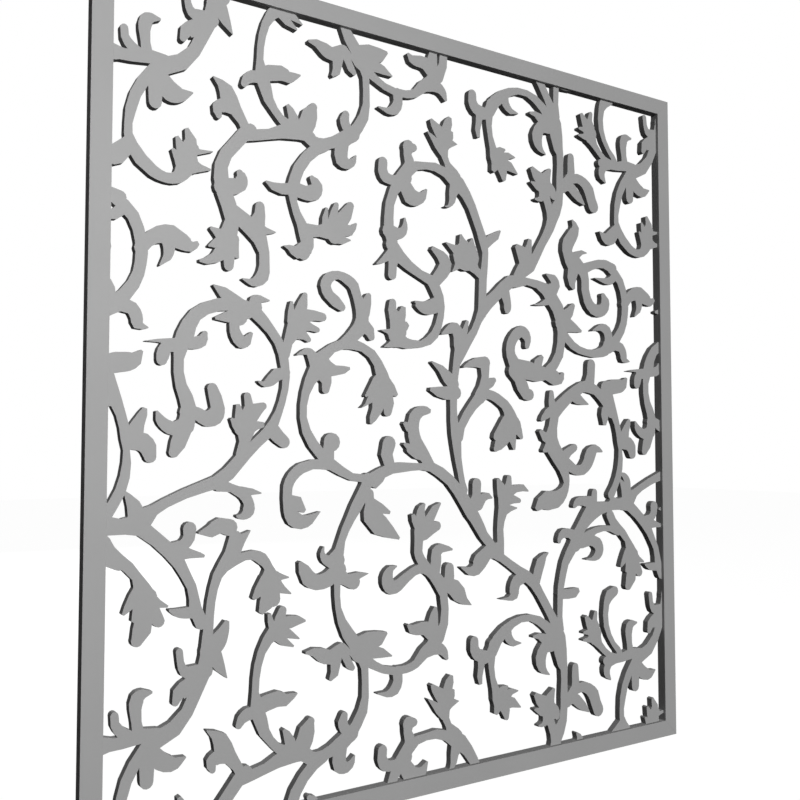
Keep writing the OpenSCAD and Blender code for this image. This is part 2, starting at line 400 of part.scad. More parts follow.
module spray_mid_blossoms() {
    blossom([[[240, 580, 9], [245, 600, 8.5], [248, 618, 15], [248, 632, 17]],
             [[240, 622, 12], [230, 629, 7], [223, 637, 2]],
             [[240, 635, 12], [236, 648, 6.5], [234, 659, 3]],
             [[250, 640, 12], [253, 657, 7.5], [250, 672, 6]],
             [[255, 638, 12], [268, 653, 10], [277, 657, 6]],
             [[255, 625, 12], [268, 627, 6.5], [279, 628, 4]]]);
    blossom([[[316, 740, 7], [320, 760, 8], [329, 778, 13], [337, 793, 17]],
             [[328, 795, 10], [325, 812, 5.5], [326, 827, 2.5]],
             [[340, 805, 12], [346, 825, 9], [350, 839, 4.5]],
             [[345, 805, 12], [368, 807, 8.5], [383, 805.5, 7]],
             [[345, 792, 12], [362, 787, 6], [373, 784, 4.5]],
             [[340, 778, 12], [352, 771, 6], [357, 767, 4.5]]]);
    curl([[150, 752, 12], [163, 750, 9.5], [174, 754, 9.5], [179, 765, 4.5]]);
    leaf([[135, 745, 10], [119, 742, 10], [113, 728, 10], [112, 722, 8.5]]);
    leaf([[135, 750, 6], [105, 750, 2.5], [87, 748.5, 0.5]]);
    curl([[152, 645, 12], [168, 643, 10], [182, 636, 12], [196, 640, 14], [201, 653, 11.5], [197, 668, 10.5], [192, 682, 8.5]]);
    leaf([[150, 625, 14], [133, 620, 11], [118, 626, 9], [109, 636, 6.5], [105, 646, 1.5]]);
    leaf([[237, 812, 12], [223, 822, 10], [208, 831, 9], [192, 841, 1]]);
    leaf([[262, 812, 12], [262, 822, 10], [272, 826, 5.5], [287, 824.5, 1]]);
    leaf([[250, 803, 10], [232, 799, 9.5], [215, 793, 8.5], [195, 790, 2]]);
    curl([[235, 795, 14], [227, 782, 8.5], [230, 767, 9.5], [239, 756, 10], [249, 759, 8], [257, 772, 2]]);
    curl([[295, 618, 12], [305, 608, 11], [314, 601, 10]]);
    leaf([[316, 712, 8], [301, 708, 10.5], [290, 698, 9], [279, 692, 5], [268, 696, 1]]);
    leaf([[372, 730, 14], [358, 747, 7], [347, 746, 4], [336, 741, 1]]);
    leaf([[388, 722, 16], [408, 719, 8.5], [424, 721, 6.5], [435, 724, 2]]);
    leaf([[386, 712, 14], [391, 698, 9], [389, 687, 7]]);
    curl([[461, 820, 13], [468, 838, 9], [471, 848, 5.5]]);
    leaf([[460, 800, 12], [474, 788, 10], [477, 779, 6.5]]);
    stem([[420, 763, 8], [440, 765, 9.5], [460, 760, 7.5], [478, 750, 8.5], [490, 735, 9], [498, 717, 12],
          [500, 695, 20]]);
    blossom([[[492, 702, 14], [478, 689, 8], [465, 678, 1.5]],
             [[490, 688, 14], [476, 674, 7], [466, 664, 2], [458, 659, 0.5]],
             [[494, 675, 15], [488, 655, 10], [480, 641, 7], [476, 632, 2]],
             [[504, 680, 17], [512, 665, 11], [510, 653, 8]],
             [[505, 700, 14], [518, 692, 9], [529, 681, 3]]]);
    blossom([[[530, 810, 16], [532, 790, 17], [540, 775, 12], [560, 772, 7.5], [580, 773, 6], [596, 780, 8], [609, 792, 8.5],
              [617, 808, 7.5], [622, 825, 7], [624, 842, 7], [619, 858, 10], [612, 872, 11], [600, 888, 10],
              [578, 896, 8], [555, 908, 9.5], [535, 922, 12], [518, 942, 12]],
             [[525, 815, 12], [519, 830, 8.5], [520, 841, 7]],
             [[532, 812, 14], [540, 824, 8], [543, 836, 4]],
             [[536, 800, 14], [547, 803, 8], [552, 807, 4]],
             [[525, 785, 14], [510, 791, 4], [497, 792, 0.8]],
             [[530, 776, 12], [515, 768, 5], [503, 764, 0.8]]]);
    leaf([[615, 848, 12], [598, 842, 10], [582, 843, 5.5], [566, 847, 1.5]]);
}

module spray_high_left() {
    stem([[67, 1112.5, 8.5], [60, 1090, 7.5], [57, 1070, 6], [57, 1052, 6.5], [62, 1036, 9.5], [76, 1017, 10.5],
          [95, 1002, 9.5], [115, 995, 8], [132, 998, 9.5], [143, 1012, 14], [148, 1028, 17]]);
    blossom([[[140, 1022, 12], [130, 1034, 6], [124, 1041, 2]],
             [[143, 1035, 12], [136, 1049, 7], [131, 1061, 2.5]],
             [[150, 1042, 15], [153, 1060, 9], [146, 1076, 3]],
             [[155, 1045, 12], [168, 1043, 4], [189, 1047, 0.6]],
             [[155, 1020, 13], [170, 1018, 6], [186, 1018.5, 1]]]);
    stem([[20, 962, 9], [35, 957, 9], [52, 945, 10], [66, 931, 9.5], [74, 913, 9], [78, 895, 9], [79.5, 878, 9.5],
          [78, 862, 9], [75, 847, 9], [68, 831, 9.5], [56, 815, 10], [45, 801, 13], [30, 796, 15]]);
    leaf([[50, 800, 11], [66, 795, 10], [73, 783, 9.5], [75, 772, 8], [91, 768, 0.8]]);
    leaf([[78, 885, 10], [89, 898, 10], [105, 908, 13], [125, 909, 16], [143, 901, 13], [156, 896, 8.5], [167, 903, 3]]);
    leaf([[120, 905, 12], [121, 888, 9], [118, 875, 6.5], [107, 862, 1]]);
    stem([[252, 1092, 11], [240, 1083, 11], [226, 1066, 10.5], [211, 1048, 10.5], [203, 1028, 11], [203, 1008, 12.5],
          [208, 988, 13], [216, 968, 13], [222, 945, 12], [217, 925, 14], [213, 908, 18]]);
    curl([[205, 995, 14], [222, 998, 13], [235, 1003, 11.5], [237, 1015, 9.5], [234, 1021, 5.5]]);
    blossom([[[206, 918, 12], [195, 924, 6], [186, 929, 2]],
             [[205, 908, 12], [192, 904, 6], [183, 900, 1]],
             [[207, 895, 13], [194, 883, 8.5], [180, 877, 5.5], [169, 876, 2]],
             [[216, 897, 12], [217, 882, 9], [217, 873, 8]],
             [[224, 915, 10], [228, 900, 5.5], [231, 886, 3]]]);
    stem([[218, 962, 12], [238, 949, 13], [256, 937, 15], [270, 920, 12.5], [277, 900, 9], [277.5, 880, 9],
          [274, 862, 11], [262, 852, 8], [250, 852, 4], [240, 855, 1]]);
    curl([[264, 945, 14], [269, 960, 9.5], [269, 973, 8]]);
    leaf([[262, 938, 13], [280, 935, 6], [297, 935, 0.8]]);
}

module spray_high_middle() {
    stem([[388, 1093, 10], [370, 1083, 10], [352, 1066, 9.5], [338, 1046, 10], [331, 1028, 10], [327, 1010, 11],
          [328, 990, 6.5], [334, 972, 7], [343, 955, 9], [351, 938, 12.5], [354, 920, 11.5], [347, 907, 11]]);
    leaf([[350, 915, 13], [335, 908, 11], [320, 914, 4], [312, 915, 1]]);
    leaf([[328, 1010, 10], [307, 1007, 9], [291, 1009, 6.5], [279, 1015, 1.5]]);
    curl([[332, 1010, 12], [350, 1006.5, 12], [365, 1010, 14], [370, 1023, 11], [362, 1033, 4.5]]);
    blossom([[[352, 945, 12], [375, 947, 9.5], [394, 950, 15], [405, 952, 18]],
             [[392, 955, 12], [387, 972, 5.5], [390, 988, 2]],
             [[402, 960, 12], [404, 982, 7], [408, 995, 4.5]],
             [[412, 962, 14], [427, 982, 11.5], [435, 997, 7]],
             [[415, 955, 14], [435, 956, 9], [447, 969, 1.5]],
             [[405, 943, 14], [422, 937, 6.5], [436, 939, 1]]]);
    leaf([[420, 1105, 12], [417, 1088, 12.5], [418, 1073, 12.5], [432, 1068, 9], [442, 1076, 5], [446, 1085, 1]]);
    curl([[548, 1063, 12], [525, 1055, 8.5], [506, 1057, 10], [499, 1070, 9.5], [500, 1083, 9]]);
    stem([[553, 1120, 11], [551, 1105, 8.5], [556, 1085, 12], [540, 1060, 14], [523, 1037, 9.5], [514, 1012, 9],
          [512, 988, 9.5], [512, 965, 10.5], [519, 948, 11]]);
    curl([[552, 1118, 11], [564, 1119, 7]]);
    stem([[553, 1075, 10], [570, 1088, 8], [590, 1091, 6.5], [610, 1092, 8], [632, 1086, 9], [650, 1078, 14],
          [664, 1069, 14], [680, 1052, 11], [693, 1032, 9.5], [703, 1010, 9], [712, 990, 9], [720, 970, 10],
          [724, 950, 7], [722, 925, 7.5], [718, 900, 9], [717, 875, 9], [716, 850, 9], [716, 838, 10]]);
    leaf([[545, 1050, 13], [556, 1033, 16], [572, 1030, 13], [585, 1037, 7.5], [592, 1049, 1.5]]);
    curl([[512, 965, 13], [530, 962, 10.5], [542, 968, 8], [546, 981, 4.5], [545, 992, 1.5]]);
    leaf([[525, 932, 12], [511, 921, 8], [498, 911, 4.5], [487, 905, 1]]);
    leaf([[523, 925, 12], [520, 905, 8.5], [519, 889, 8.5]]);
    leaf([[610, 886, 11], [626, 904, 13], [633, 920, 13.5], [622, 935, 9.5], [603, 946, 3.5]]);
    stem([[639, 1099.5, 7.5], [648, 1087, 13], [657, 1070, 15], [650, 1050, 9], [648, 1037, 7], [641, 1026, 3], [632, 1024, 0.8]]);
    leaf([[724, 966, 9], [738, 978, 9], [750, 985, 7.5], [760, 996, 1.5]]);
    blossom([[[676, 938, 26], [684, 938, 25]],
             [[665, 945, 14], [650, 951, 6.5], [634, 959, 1]],
             [[676, 955, 14], [670, 968, 6.5], [667, 978, 2]],
             [[690, 952, 14], [693, 967, 5], [694, 974, 1.5]],
             [[668, 930, 12], [655, 914, 4], [648, 908, 0.8]],
             [[688, 930, 17], [703, 915, 8], [718, 905, 8]]]);
}

module spray_high_right() {
    stem([[911, 1112, 9], [911, 1090, 8.5], [908, 1070, 10], [898, 1052, 14], [890, 1035, 13], [884, 1018, 11],
          [874, 1000, 9.5], [864, 985, 9], [855, 970, 9.5], [846, 955, 10], [830, 942, 18], [812, 925, 14],
          [800, 910, 11]]);
    leaf([[822, 948, 18], [812, 962, 14], [798, 973, 4]]);
    leaf([[826, 960, 11], [831, 977, 6.5], [833, 989, 4]]);
    leaf([[943, 1041, 1.5], [952, 1026, 9.5], [944, 1010, 13], [933, 995, 14.5], [929, 978, 13], [936, 960, 13.5],
          [945, 945, 14], [941, 925, 12], [942, 912, 8], [947, 903, 3]]);
    leaf([[945, 965, 12], [957, 973, 7.5], [969, 979, 4.5], [982, 979, 1]]);
    stem([[950, 948, 14], [972, 946, 11], [995, 955, 8.5], [1015, 961, 8.5], [1035, 962, 9], [1056, 956, 9.5]]);
    leaf([[1060, 940, 9], [1048, 930, 8], [1030, 928, 5.5], [1004, 931, 0.8]]);
    stem([[955, 955, 14], [969, 944, 13], [977, 925, 10.5], [977, 905, 10.5], [983, 885, 11], [997, 869, 12],
          [1018, 866, 12.5], [1031, 876, 12], [1032, 889, 10.5], [1027, 897, 6]]);
    leaf([[1066, 1035, 12], [1051, 1019, 15], [1036, 1015, 12], [1023, 1023, 4], [1018, 1027, 0.8]]);
}

module left_edge_only() {
    curl([[75, 178, 8], [60, 187, 8], [50, 200, 6.5], [49, 212, 6]]);
}

module right_edge_only() {
    curl([[1064, 178, 8], [1058, 190, 6.5], [1046, 202, 5.5], [1034, 220, 6], [1026, 240, 7], [1024, 262, 7], [1027, 283, 8],
          [1037, 300, 12], [1050, 306, 10]]);
}

module all_sprays() {
    spray_low_left();
    spray_low_blossom();
    spray_low_middle();
    spray_low_arch();
    spray_low_buds();
    spray_low_right();
    spray_right_tree();
    spray_mid_left();
    spray_mid_low();
    spray_mid_centre();
    spray_mid_right();
    spray_mid_blossoms();
    spray_high_left();
    spray_high_middle();
    spray_high_right();
}

module ornament(window) {
    for (i = [-1:1], j = [-1:1]) {
        away = [i * repeat_x, j * repeat_z];
        $window = window - concat(away, away);
        if ($window[0] < reach_x[1] && $window[2] > reach_x[0] && $window[1] < reach_z[1] && $window[3] > reach_z[0])
            translate(away) {
                all_sprays();
                if (i == 0) {
                    left_edge_only();
                    right_edge_only();
                }
            }
    }
}

// ---- outlines in the plane of the panel, from its top middle ----

module centred_rect(w, h) {
    translate([-w / 2, -panel_h / 2 - h / 2])
        square([w, h]);
}

// Where the border before column or row i of n lies. Inner borders lie on whole millimetres, so that the
// openings of two neighbours end at the same points.
function border(low, span, i, n) = i == 0 ? low : i == n ? low + span : round(low + i * span / n);
// The sides of one cell: left, bottom, right and top
function cell_sides(i, j) =
    [border(-open_w / 2, open_w, i, cells_x), border(face_w - panel_h, open_h, j, cells_z),
     border(-open_w / 2, open_w, i + 1, cells_x), border(face_w - panel_h, open_h, j + 1, cells_z)];

// One cell of the opening, grown by a margin that stays inside the opening
module cell(sides, margin) {
    intersection() {
        centred_rect(open_w, open_h);
        translate([sides[0] - margin, sides[1] - margin])
            square([sides[2] - sides[0] + 2 * margin, sides[3] - sides[1] + 2 * margin]);
    }
}

// What the cutter takes out of one cell: all that no stroke covers and that it can reach
module cell_openings(sides) {
    to_drawn = [drawn_w / panel_w, drawn_h / panel_h];
    low = [sides[0] + half_w, sides[1] + panel_h];
    high = [sides[2] + half_w, sides[3] + panel_h];
    window = [low[0] * to_drawn[0], low[1] * to_drawn[1], high[0] * to_drawn[0], high[1] * to_drawn[1]];
    offset(delta = 0)
        intersection() {
            cell(sides, 0);
            offset(delta = cutter_r)
                offset(delta = -cutter_r)
                    difference() {
                        cell(sides, 8 * cutter_r);
                        translate([-half_w, -panel_h])
                            scale([panel_w / drawn_w, panel_h / drawn_h])
                                ornament(window);
                    }
        }
}

module fretwork_outline() {
    difference() {
        centred_rect(open_w + 2 * (rim_w - rim_gap), open_h + 2 * (rim_w - rim_gap));
        for (i = [0:cells_x - 1], j = [0:cells_z - 1])
            cell_openings(cell_sides(i, j));
        for (p = pin_places())
            translate(p)
                circle(d = pin_d);
    }
}

module slab(front, depth) {
    translate([0, front + depth, 0])
        rotate([90, 0, 0])
            linear_extrude(depth)
                children();
}

// ---- frame members, drawn as the left stile or the top rail ----

module stile_face(w) {
    polygon([[-half_w, -panel_h], [-half_w + w, -panel_h + w], [-half_w + w, -w], [-half_w, 0]]);
}

module rail_face(w) {
    polygon([[-half_w, 0], [half_w, 0], [half_w - w, -w], [-half_w + w, -w]]);
}

module key_face(gap) {
    far = key_arm + gap;
    near = core_mid - key_w / 2;
    translate([-half_w, 0])
        polygon([[near, -near], [far, -near], [far, -near - key_w], [near + key_w, -near - key_w],
                 [near + key_w, -far], [near, -far]]);
}

module key_slots() {
    for (side = [0, 1], level = [0, 1])
        at_corner(side, level)
            slab(-key_t / 2, key_t)
                key_face(0.5);
}

module at_corner(side, level) {
    translate([0, 0, level * -panel_h])
        mirror([0, 0, level])
            mirror([side, 0, 0])
                children();
}

function spread(a, b, n) = [for (i = [0:n - 1]) a + (b - a) * i / (n - 1)];
function stile_pin_places() =
    [for (z = spread(-corner_free, -panel_h + corner_free, stile_pins), s = [-1, 1]) [s * (half_w - pin_line), z]];
function rail_pin_places() =
    [for (x = spread(-half_w + corner_free, half_w - corner_free, rail_pins), z = [-pin_line, pin_line - panel_h]) [x, z]];
function pin_places() = concat(stile_pin_places(), rail_pin_places());

module pins_at(places) {
    for (p = places)
        translate([p[0], half_d, p[1]])
            rotate([90, 0, 0])
                cylinder(h = pin_len, d = pin_d);
}

module member_body_stile() {
    slab(-half_d, setback)
        stile_face(face_w);
    slab(-half_d, frame_d)
        stile_face(core_w);
}

module member_body_rail() {
    slab(-half_d, setback)
        rail_face(face_w);
    slab(-half_d, frame_d)
        rail_face(core_w);
}

// ---- threaded inserts ----

module insert_holes() {
    for (s = [-1, 1])
        translate([s * hang_pitch / 2, 0, -insert_len])
            cylinder(h = insert_len + 1, d = insert_d);
}

module insert() {
    difference() {
        cylinder(h = insert_len, d = insert_d);
        translate([0, 0, -1])
            cylinder(h = insert_len + 2, d = thread_d);
    }
}

// ---- nodes ----

module fretwork_sheet() {
    color(paint)
        slab(lip_back, sheet_t)
            fretwork_outline();
}

module left_stile() {
    color(paint)
        difference() {
            member_body_stile();
            key_slots();
            pins_at([for (p = stile_pin_places()) if (p[0] < 0) p]);
        }
}

module right_stile() {
    color(paint)
        difference() {
            mirror([1, 0, 0])
                member_body_stile();
            key_slots();
            pins_at([for (p = stile_pin_places()) if (p[0] > 0) p]);
        }
}

module top_rail() {
    color(paint)
        difference() {
            member_body_rail();
            key_slots();
            pins_at([for (p = rail_pin_places()) if (p[1] > -panel_h / 2) p]);
            insert_holes();
        }
}

module bottom_rail() {
    color(paint)
        difference() {
            translate([0, 0, -panel_h])
                mirror([0, 0, 1])
                    member_body_rail();
            key_slots();
            pins_at([for (p = rail_pin_places()) if (p[1] < -panel_h / 2) p]);
        }
}

module corner_key() {
    color(ply)
        slab(-key_t / 2, key_t)
            key_face(0);
}

module corner_key_top_left() {
    at_corner(0, 0)
        corner_key();
}

module corner_key_top_right() {
    at_corner(1, 0)
        corner_key();
}

module corner_key_bottom_left() {
    at_corner(0, 1)
        corner_key();
}

module corner_key_bottom_right() {
    at_corner(1, 1)
        corner_key();
}

module rim_pins() {
    color(steel)
        pins_at(pin_places());
}

module hanging_inserts() {
    color(brass)
        for (s = [-1, 1])
            translate([s * hang_pitch / 2, 0, -insert_len])
                insert();
}

fretwork_sheet();
left_stile();
right_stile();
top_rail();
bottom_rail();
corner_key_top_left();
corner_key_top_right();
corner_key_bottom_left();
corner_key_bottom_right();
rim_pins();
hanging_inserts();
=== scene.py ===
"""Looks of a hanging room divider panel: a painted fretwork sheet held in a mitred flat frame.

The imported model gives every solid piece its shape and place. This script dresses those pieces in
their finishes, models the threaded inserts of the top edge in full, adds the leaves and curls of
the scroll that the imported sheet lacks, and sets up a plain studio with the photograph's camera.
Lengths are in metres, except for the knots of the leaves, which are in millimetres. X runs along
the width, Y to the back and Z upwards.
"""

from __future__ import annotations

import logging
import math
from dataclasses import dataclass, field
from enum import Enum

import bmesh
import bpy
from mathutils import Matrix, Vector

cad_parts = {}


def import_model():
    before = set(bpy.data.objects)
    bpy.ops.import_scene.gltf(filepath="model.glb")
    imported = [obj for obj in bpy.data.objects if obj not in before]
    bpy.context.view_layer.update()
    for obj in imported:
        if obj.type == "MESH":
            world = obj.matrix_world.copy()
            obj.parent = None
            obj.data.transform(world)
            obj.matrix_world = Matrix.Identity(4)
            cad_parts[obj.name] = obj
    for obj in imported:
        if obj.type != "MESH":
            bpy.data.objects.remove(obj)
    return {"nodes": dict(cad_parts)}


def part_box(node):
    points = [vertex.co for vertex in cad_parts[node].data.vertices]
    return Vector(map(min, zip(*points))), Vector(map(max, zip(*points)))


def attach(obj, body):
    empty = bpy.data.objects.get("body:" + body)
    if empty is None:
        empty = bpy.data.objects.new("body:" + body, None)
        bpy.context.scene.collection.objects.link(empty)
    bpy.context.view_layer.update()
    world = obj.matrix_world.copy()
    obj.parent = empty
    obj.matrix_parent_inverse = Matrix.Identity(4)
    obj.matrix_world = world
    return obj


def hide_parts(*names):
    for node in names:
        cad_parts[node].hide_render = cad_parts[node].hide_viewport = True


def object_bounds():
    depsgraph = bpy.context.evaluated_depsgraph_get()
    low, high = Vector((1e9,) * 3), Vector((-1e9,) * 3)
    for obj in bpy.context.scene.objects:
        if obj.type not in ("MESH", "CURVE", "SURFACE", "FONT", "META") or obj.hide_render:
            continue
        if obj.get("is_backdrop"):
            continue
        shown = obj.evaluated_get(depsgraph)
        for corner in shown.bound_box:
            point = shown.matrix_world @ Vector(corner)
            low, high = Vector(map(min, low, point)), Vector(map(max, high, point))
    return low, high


LOG = logging.getLogger("panel")
MM = 0.001
BODY = "root"
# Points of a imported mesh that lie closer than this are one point
SAME_POINT = 0.002 * MM
# Faces that meet at less than this angle are shaded as one curved face
SMOOTH_UNDER = math.radians(30)
# Display level of the paint, the same on frame and sheet
PAINT_TONE = 155.0
# Radians that a band texture turns per metre at a scale of one
BAND_TURN = 20.0

Colour = tuple[float, float, float]
Offset = tuple[float, float, float]


class Slot(Enum):
    """Material slot names for the pieces that are modelled here; this script does not assign them.
    """

    SHEET = "painted_sheet"
    INSERT = "brass_insert"


class Ray(Enum):
    """Kinds of rays that meet the white background, by their Light Path output."""

    CAMERA = "Is Camera Ray"
    GLOSSY = "Is Glossy Ray"
    TRANSMISSION = "Is Transmission Ray"


def srgb(level: float) -> float:
    """Turns a display level from 0 to 255 into linear light.

    Args:
        level: The level, as a picture stores it.

    Returns:
        The linear value from 0 to 1.
    """
    share = level / 255.0
    return share / 12.92 if share <= 0.04045 else ((share + 0.055) / 1.055) ** 2.4


# ---------------------------------------------------------------- node helpers


class NodeSheet:
    """A small writer for a node tree: it adds nodes, sets their values and joins their sockets."""

    def __init__(self, tree: bpy.types.NodeTree) -> None:
        """Starts on an empty tree.

        Args:
            tree: The node tree of a material or of the world.
        """
        self.tree = tree
        tree.nodes.clear()

    def add(self, kind: str, **settings: object) -> bpy.types.Node:
        """Adds a node.

        Args:
            kind: The node's type, such as ShaderNodeTexNoise.
            **settings: Attributes of the node, set by name.

        Returns:
            The new node.
        """
        node = self.tree.nodes.new(kind)
        for name, value in settings.items():
            setattr(node, name, value)
        return node

    def put(self, node: bpy.types.Node, **values: object) -> bpy.types.Node:
        """Sets default values on a node's inputs.

        Args:
            node: The node.
            **values: Input names, with underscores for spaces, and their values.

        Returns:
            The same node.
        """
        for name, value in values.items():
            node.inputs[name.replace("_", " ")].default_value = value
        return node

    def link(self, source: bpy.types.NodeSocket, target: bpy.types.NodeSocket) -> None:
        """Joins an output socket to an input socket."""
        self.tree.links.new(source, target)

    def cover(self, source: bpy.types.NodeSocket) -> None:
        """Makes a shader's output the material's surface."""
        self.link(source, self.add("ShaderNodeOutputMaterial").inputs["Surface"])

    def squeezed(self, place: bpy.types.NodeSocket, scale: Offset) -> bpy.types.NodeSocket:
        """Scales coordinates, so that a texture stretches where the scale is small.

        Args:
            place: The coordinates.
            scale: Factor along each axis.

        Returns:
            The scaled coordinates.
        """
        mapping = self.put(self.add("ShaderNodeMapping"), Scale=scale)
        self.link(place, mapping.inputs["Vector"])
        return mapping.outputs["Vector"]

    def product(self, first: bpy.types.NodeSocket,
                second: bpy.types.NodeSocket) -> bpy.types.NodeSocket:
        """Multiplies two values."""
        node = self.add("ShaderNodeMath", operation="MULTIPLY")
        self.link(first, node.inputs[0])
        self.link(second, node.inputs[1])
        return node.outputs["Value"]

    def noise(self, place: bpy.types.NodeSocket, scale: float, detail: float,
              rough: float = 0.5) -> bpy.types.NodeSocket:
        """Adds a noise texture.

        Args:
            place: The coordinates that it reads.
            scale: Waves per metre.
            detail: How many finer layers it adds.
            rough: How strong the finer layers are.

        Returns:
            Its value output.
        """
        node = self.put(self.add("ShaderNodeTexNoise"),
                        Scale=scale, Detail=detail, Roughness=rough)
        self.link(place, node.inputs["Vector"])
        return node.outputs["Fac"]

    def ramp(self, value: bpy.types.NodeSocket, low: Colour, high: Colour,
             start: float = 0.3, end: float = 0.7) -> bpy.types.NodeSocket:
        """Turns a value into a colour between two tones.

        Args:
            value: The value that drives it.
            low: Colour at the start.
            high: Colour at the end.
            start: Value where the low colour ends.
            end: Value where the high colour begins.

        Returns:
            The colour output.
        """
        node = self.add("ShaderNodeValToRGB")
        node.color_ramp.elements[0].position = start
        node.color_ramp.elements[0].color = (*low, 1.0)
        node.color_ramp.elements[1].position = end
        node.color_ramp.elements[1].color = (*high, 1.0)
        self.link(value, node.inputs["Fac"])
        return node.outputs["Color"]

    def span(self, value: bpy.types.NodeSocket, low: float, high: float,
             start: float = 0.3, end: float = 0.7) -> bpy.types.NodeSocket:
        """Maps a value from one range to another.

        Args:
            value: The value.
            low: Result at the start.
            high: Result at the end.
            start: Lowest value read.
            end: Highest value read.

        Returns:
            The mapped value's output.
        """
        node = self.put(self.add("ShaderNodeMapRange"),
                        From_Min=start, From_Max=end, To_Min=low, To_Max=high)
        self.link(value, node.inputs["Value"])
        return node.outputs["Result"]

    def bump(self, height: bpy.types.NodeSocket, depth: float,
             under: bpy.types.NodeSocket | None = None) -> bpy.types.NodeSocket:
        """Adds a bump.

        Args:
            height: The height's output, from 0 to 1.
            depth: The real depth of the bump, in metres.
            under: The normal of a bump that this one lies on.

        Returns:
            The normal output.
        """
        node = self.put(self.add("ShaderNodeBump"), Strength=1.0, Distance=depth)
        self.link(height, node.inputs["Height"])
        if under is not None:
            self.link(under, node.inputs["Normal"])
        return node.outputs["Normal"]


def new_material(name: str) -> tuple[bpy.types.Material, NodeSheet]:
    """Makes an empty node material.

    Args:
        name: The material's name.

    Returns:
        The material and the writer for its nodes.
    """
    made = bpy.data.materials.new(name)
    made.use_nodes = True
    return made, NodeSheet(made.node_tree)


# ---------------------------------------------------------------- finishes


@dataclass(frozen=True)
class MattPaint:
    """Sprayed matt paint, with a faint orange peel and a little more tooth on cut walls."""

    name: str
    tone: float
    drift: float = 0.018
    drift_per_m: float = 7.0
    roughness: float = 0.72
    uneven: float = 0.05
    patches_per_m: float = 55.0
    gloss: float = 0.01
    peel_per_m: float = 620.0
    peel_depth: float = 0.010 * MM
    fibre_per_m: float = 1900.0
    fibre_depth: float = 0.012 * MM
    fibre_squeeze: Offset = (1.0, 0.22, 1.0)
    wall_below: float = 0.2
    face_above: float = 0.8

    def material(self) -> bpy.types.Material:
        """Builds the paint's material.

        Returns:
            The material.
        """
        made, nodes = new_material(self.name)
        place = nodes.add("ShaderNodeTexCoord").outputs["Object"]
        shader = nodes.put(nodes.add("ShaderNodeBsdfPrincipled"), Specular_IOR_Level=self.gloss)
        base = srgb(self.tone)
        low = (base * (1 - self.drift),) * 3
        high = (base * (1 + self.drift),) * 3
        clouds = nodes.noise(place, self.drift_per_m, 4.0)
        nodes.link(nodes.ramp(clouds, low, high), shader.inputs["Base Color"])
        patches = nodes.noise(place, self.patches_per_m, 3.0)
        sheen = nodes.span(patches, self.roughness - self.uneven, self.roughness + self.uneven)
        nodes.link(sheen, shader.inputs["Roughness"])
        peel = nodes.bump(nodes.noise(place, self.peel_per_m, 2.0), self.peel_depth)
        nodes.link(self._tooth(nodes, place, peel), shader.inputs["Normal"])
        nodes.cover(shader.outputs["BSDF"])
        return made

    def _tooth(self, nodes: NodeSheet, place: bpy.types.NodeSocket,
               under: bpy.types.NodeSocket) -> bpy.types.NodeSocket:
        """Raises the fibres of the board on its cut walls, where the paint sinks in.

        Args:
            nodes: The material's nodes.
            place: Object coordinates.
            under: The normal below.

        Returns:
            The normal with the fibres added.
        """
        normal = nodes.add("ShaderNodeNewGeometry").outputs["True Normal"]
        parts = nodes.add("ShaderNodeSeparateXYZ")
        nodes.link(normal, parts.inputs["Vector"])
        facing = nodes.add("ShaderNodeMath", operation="ABSOLUTE")
        nodes.link(parts.outputs["Y"], facing.inputs[0])
        on_wall = nodes.span(facing.outputs["Value"], 1.0, 0.0, self.wall_below, self.face_above)
        along = nodes.squeezed(place, self.fibre_squeeze)
        fibres = nodes.noise(along, self.fibre_per_m, 3.0, 0.6)
        return nodes.bump(nodes.product(fibres, on_wall), self.fibre_depth, under)


@dataclass(frozen=True)
class BarePlywood:
    """Bare birch plywood: its veneers show as bands through the thickness, with a fine grain."""

    name: str = "bare_plywood"
    pale: Colour = (0.62, 0.44, 0.25)
    dark: Colour = (0.40, 0.25, 0.12)
    gloss: float = 0.25
    smoothest: float = 0.62
    roughest: float = 0.78
    veneer: float = 0.8 * MM
    wander: float = 0.4
    grain_per_m: float = 260.0
    grain_squeeze: Offset = (0.1, 1.0, 1.0)
    grain_depth: float = 0.03 * MM

    def material(self) -> bpy.types.Material:
        """Builds the plywood's material.

        Returns:
            The material.
        """
        made, nodes = new_material(self.name)
        place = nodes.add("ShaderNodeTexCoord").outputs["Object"]
        shader = nodes.put(nodes.add("ShaderNodeBsdfPrincipled"), Specular_IOR_Level=self.gloss)
        # One wave holds a pale and a dark veneer
        bands = nodes.put(nodes.add("ShaderNodeTexWave", bands_direction="Y"),
                          Scale=math.pi / (BAND_TURN * self.veneer),
                          Distortion=self.wander, Detail=1.0)
        nodes.link(place, bands.inputs["Vector"])
        grain = nodes.noise(nodes.squeezed(place, self.grain_squeeze), self.grain_per_m, 5.0)
        both = nodes.product(bands.outputs["Fac"], grain)
        tone = nodes.ramp(both, self.dark, self.pale, 0.1, 0.5)
        nodes.link(tone, shader.inputs["Base Color"])
        nodes.link(nodes.span(grain, self.smoothest, self.roughest), shader.inputs["Roughness"])
        nodes.link(nodes.bump(grain, self.grain_depth), shader.inputs["Normal"])
        nodes.cover(shader.outputs["BSDF"])
        return made


